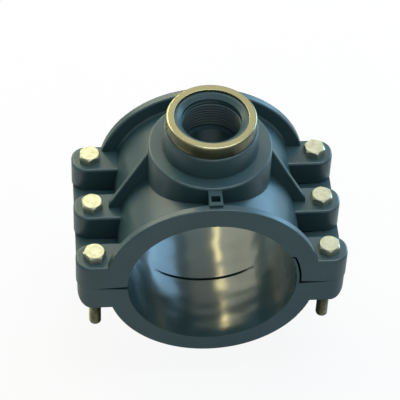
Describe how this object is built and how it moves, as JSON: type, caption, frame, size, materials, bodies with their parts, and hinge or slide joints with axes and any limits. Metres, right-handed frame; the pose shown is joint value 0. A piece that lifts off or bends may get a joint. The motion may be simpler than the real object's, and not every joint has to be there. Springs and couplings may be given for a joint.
{
  "type": "tapping saddle",
  "caption": "Moulded split clamp saddle that bolts round a pressure pipe and gives it a threaded branch outlet with a steel-ringed mouth.",
  "frame": {"origin": "where the pipe axis meets the outlet axis, half way along the saddle", "axes": "+Y along the pipe towards the rear, +Z along the outlet and away from the pipe, +X to the right seen from the front"},
  "size_m": [0.1766, 0.1104, 0.167],
  "materials": {
    "moulded_body": "semi-gloss moulded polypropylene",
    "ring_steel": "turned stainless steel",
    "plated_steel": "pale zinc plated",
    "seal_rubber": "matt black moulded rubber"
  },
  "bodies": {
    "upper_half": {"upper_saddle": "moulded_body", "reinforcing_ring": "ring_steel", "outlet_seal": "seal_rubber"},
    "lower_half": {"lower_saddle": "moulded_body", "nut_left_front": "plated_steel", "nut_left_middle": "plated_steel", "nut_left_rear": "plated_steel", "nut_right_front": "plated_steel", "nut_right_middle": "plated_steel", "nut_right_rear": "plated_steel"},
    "bolt_left_front": {"bolt_left_front": "plated_steel"},
    "bolt_left_middle": {"bolt_left_middle": "plated_steel"},
    "bolt_left_rear": {"bolt_left_rear": "plated_steel"},
    "bolt_right_front": {"bolt_right_front": "plated_steel"},
    "bolt_right_middle": {"bolt_right_middle": "plated_steel"},
    "bolt_right_rear": {"bolt_right_rear": "plated_steel"}
  },
  "joints": [
    {"name": "clamp_opening", "type": "slide", "parent": "upper_half", "child": "lower_half", "axis": [0, 0, -1], "range_m": [0, 0.028]},
    {"name": "bolt_left_front_turn", "type": "hinge", "parent": "upper_half", "child": "bolt_left_front", "pos_m": [-0.076, -0.0437, 0], "axis": [0, 0, 1], "range_deg": [0, 8065]},
    {"name": "bolt_left_middle_turn", "type": "hinge", "parent": "upper_half", "child": "bolt_left_middle", "pos_m": [-0.076, 0, 0], "axis": [0, 0, 1], "range_deg": [0, 8065]},
    {"name": "bolt_left_rear_turn", "type": "hinge", "parent": "upper_half", "child": "bolt_left_rear", "pos_m": [-0.076, 0.0437, 0], "axis": [0, 0, 1], "range_deg": [0, 8065]},
    {"name": "bolt_right_front_turn", "type": "hinge", "parent": "upper_half", "child": "bolt_right_front", "pos_m": [0.076, -0.0437, 0], "axis": [0, 0, 1], "range_deg": [0, 8065]},
    {"name": "bolt_right_middle_turn", "type": "hinge", "parent": "upper_half", "child": "bolt_right_middle", "pos_m": [0.076, 0, 0], "axis": [0, 0, 1], "range_deg": [0, 8065]},
    {"name": "bolt_right_rear_turn", "type": "hinge", "parent": "upper_half", "child": "bolt_right_rear", "pos_m": [0.076, 0.0437, 0], "axis": [0, 0, 1], "range_deg": [0, 8065]}
  ],
  "couplings": [
    {"joint": "bolt_left_front_turn", "follows": "clamp_opening", "rad_per_m": 5026.5},
    {"joint": "bolt_left_middle_turn", "follows": "clamp_opening", "rad_per_m": 5026.5},
    {"joint": "bolt_left_rear_turn", "follows": "clamp_opening", "rad_per_m": 5026.5},
    {"joint": "bolt_right_front_turn", "follows": "clamp_opening", "rad_per_m": 5026.5},
    {"joint": "bolt_right_middle_turn", "follows": "clamp_opening", "rad_per_m": 5026.5},
    {"joint": "bolt_right_rear_turn", "follows": "clamp_opening", "rad_per_m": 5026.5}
  ]
}
